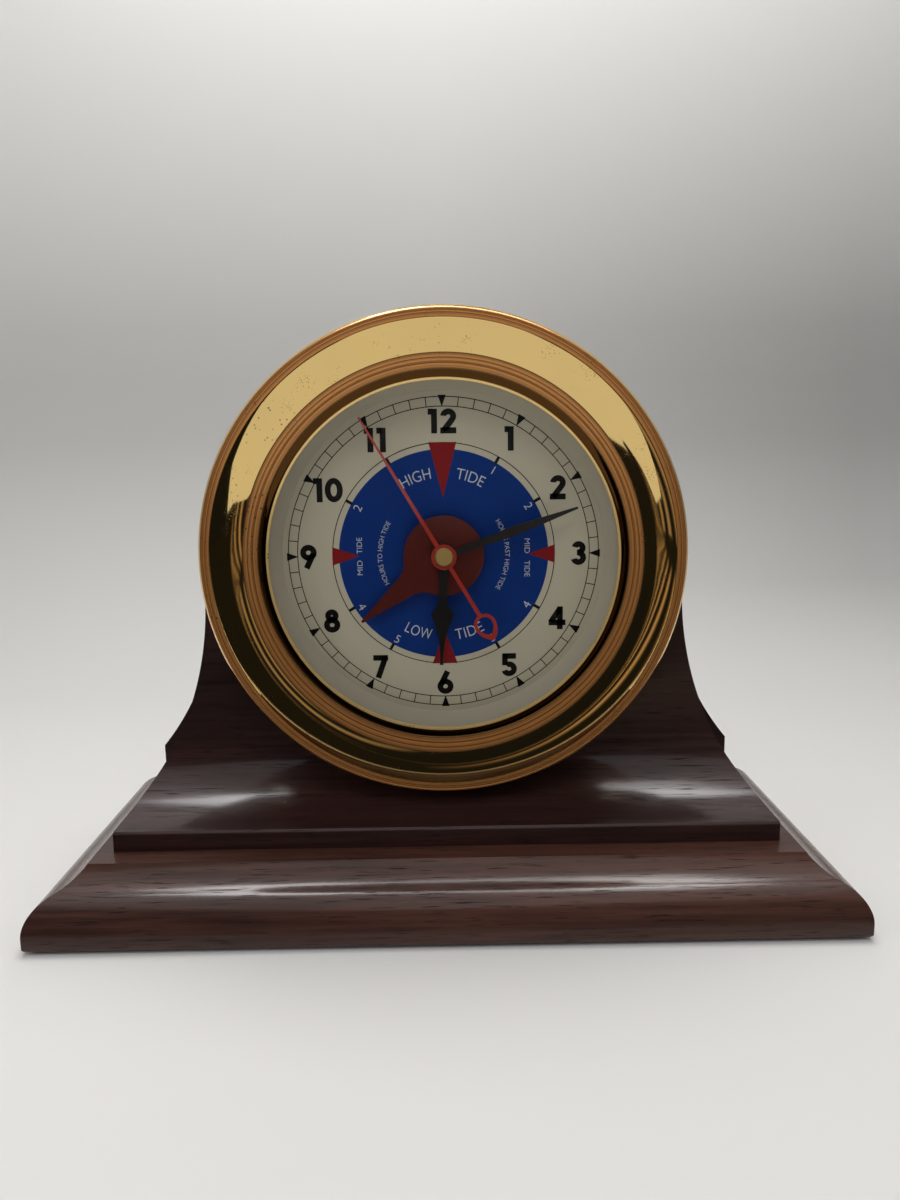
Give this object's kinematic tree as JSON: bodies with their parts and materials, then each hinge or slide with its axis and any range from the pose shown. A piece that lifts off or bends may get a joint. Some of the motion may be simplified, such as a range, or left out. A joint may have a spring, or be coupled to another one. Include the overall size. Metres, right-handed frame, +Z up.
{
  "type": "tide clock",
  "caption": "Mantel tide clock: round brass case in a coved mahogany saddle on a moulded plinth, with clock hands and a tide hand driven by a quartz movement.",
  "frame": {"origin": "on the floor at the middle of the base's footprint", "axes": "+X to the right as one looks at the dial, the dial faces -Y, +Z up"},
  "size_m": [0.2586, 0.108, 0.1937],
  "materials": {
    "mahogany": "satin varnish over dark mahogany",
    "felt": "dark felt",
    "brass": "polished, with small tarnish specks",
    "case_brass": "turned, unpolished",
    "glass": "clear flat glass",
    "dial": "matt cream print on silver",
    "reflector": "satin silver",
    "steel": "zinc-plated steel",
    "shell_plastic": "black moulded plastic",
    "wheel_plastic": "natural acetal",
    "tide_plastic": "red acetal",
    "knob_plastic": "black moulded plastic",
    "cushion_rubber": "black rubber",
    "cell_sleeve": "printed sleeve round a metal can",
    "magnet": "sintered magnet",
    "laminate": "green circuit laminate",
    "copper": "enamelled copper wire",
    "red_paint": "dark red enamel",
    "black_paint": "black enamel",
    "orange_paint": "orange-red enamel"
  },
  "bodies": {
    "clock": {"base_felt": "felt", "plinth": "mahogany", "saddle_block": "mahogany", "back_board": "mahogany", "base_screws": "steel", "case_body": "case_brass", "case_screws": "case_brass", "reflector_ring": "reflector", "dial_plate": "dial", "dial_screws": "case_brass", "movement_front_shell": "shell_plastic", "movement_back_shell": "shell_plastic", "movement_cushion": "cushion_rubber", "fixing_washer": "case_brass", "fixing_nut": "case_brass", "battery": "cell_sleeve", "battery_contact_positive": "steel", "battery_contact_negative": "steel", "circuit_board": "laminate", "quartz_can": "steel", "coil": "copper", "stator": "steel"},
    "bezel": {"bezel": "brass", "crystal": "glass", "crystal_ring": "case_brass"},
    "seconds": {"second_wheel": "wheel_plastic", "second_hand": "orange_paint", "hand_cap": "brass"},
    "fifth": {"fifth_wheel": "wheel_plastic"},
    "drive_rotor": {"rotor": "magnet"},
    "third": {"third_wheel": "wheel_plastic"},
    "centre": {"centre_wheel": "wheel_plastic"},
    "minutes": {"minute_arbor": "wheel_plastic", "minute_hand": "black_paint"},
    "time_setting": {"minute_wheel": "wheel_plastic", "time_set_knob": "knob_plastic"},
    "hours": {"hour_wheel": "wheel_plastic", "hour_hand": "black_paint"},
    "tide_setting": {"tide_intermediate_wheel": "tide_plastic", "tide_set_knob": "tide_plastic"},
    "tides": {"tide_wheel": "tide_plastic", "tide_hand": "red_paint"}
  },
  "joints": [
    {"name": "bezel_turn", "type": "hinge", "parent": "clock", "child": "bezel", "pos_m": [0, 0, 0.1144], "axis": [0, -1, 0], "range_deg": [0, 360]},
    {"name": "second_spin", "type": "hinge", "parent": "clock", "child": "seconds", "pos_m": [0, 0, 0.1144], "axis": [0, 1, 0], "continuous": true},
    {"name": "fifth_spin", "type": "hinge", "parent": "clock", "child": "fifth", "pos_m": [-0.00831, 0, 0.12504], "axis": [0, 1, 0], "continuous": true},
    {"name": "rotor_spin", "type": "hinge", "parent": "clock", "child": "drive_rotor", "pos_m": [-0.01281, 0, 0.13283], "axis": [0, 1, 0], "continuous": true},
    {"name": "third_spin", "type": "hinge", "parent": "clock", "child": "third", "pos_m": [0.00506, 0, 0.12692], "axis": [0, 1, 0], "continuous": true},
    {"name": "centre_spin", "type": "hinge", "parent": "clock", "child": "centre", "pos_m": [0, 0, 0.1144], "axis": [0, 1, 0], "continuous": true},
    {"name": "minute_spin", "type": "hinge", "parent": "clock", "child": "minutes", "pos_m": [0, 0, 0.1144], "axis": [0, 1, 0], "continuous": true},
    {"name": "time_set_spin", "type": "hinge", "parent": "clock", "child": "time_setting", "pos_m": [-0.0135, 0, 0.1144], "axis": [0, 1, 0], "continuous": true},
    {"name": "hour_spin", "type": "hinge", "parent": "clock", "child": "hours", "pos_m": [0, 0, 0.1144], "axis": [0, 1, 0], "continuous": true},
    {"name": "tide_set_spin", "type": "hinge", "parent": "clock", "child": "tide_setting", "pos_m": [0.01485, 0, 0.11649], "axis": [0, 1, 0], "continuous": true},
    {"name": "tide_spin", "type": "hinge", "parent": "clock", "child": "tides", "pos_m": [0, 0, 0.1144], "axis": [0, 1, 0], "continuous": true}
  ],
  "couplings": [
    {"joint": "fifth_spin", "follows": "second_spin", "ratio": -5},
    {"joint": "rotor_spin", "follows": "second_spin", "ratio": 30},
    {"joint": "third_spin", "follows": "second_spin", "ratio": -0.13333},
    {"joint": "centre_spin", "follows": "second_spin", "ratio": 0.016667},
    {"joint": "time_set_spin", "follows": "minute_spin", "ratio": -0.33333},
    {"joint": "hour_spin", "follows": "minute_spin", "ratio": 0.083333},
    {"joint": "tide_set_spin", "follows": "minute_spin", "ratio": -0.21739},
    {"joint": "tide_spin", "follows": "minute_spin", "ratio": 0.080515}
  ]
}
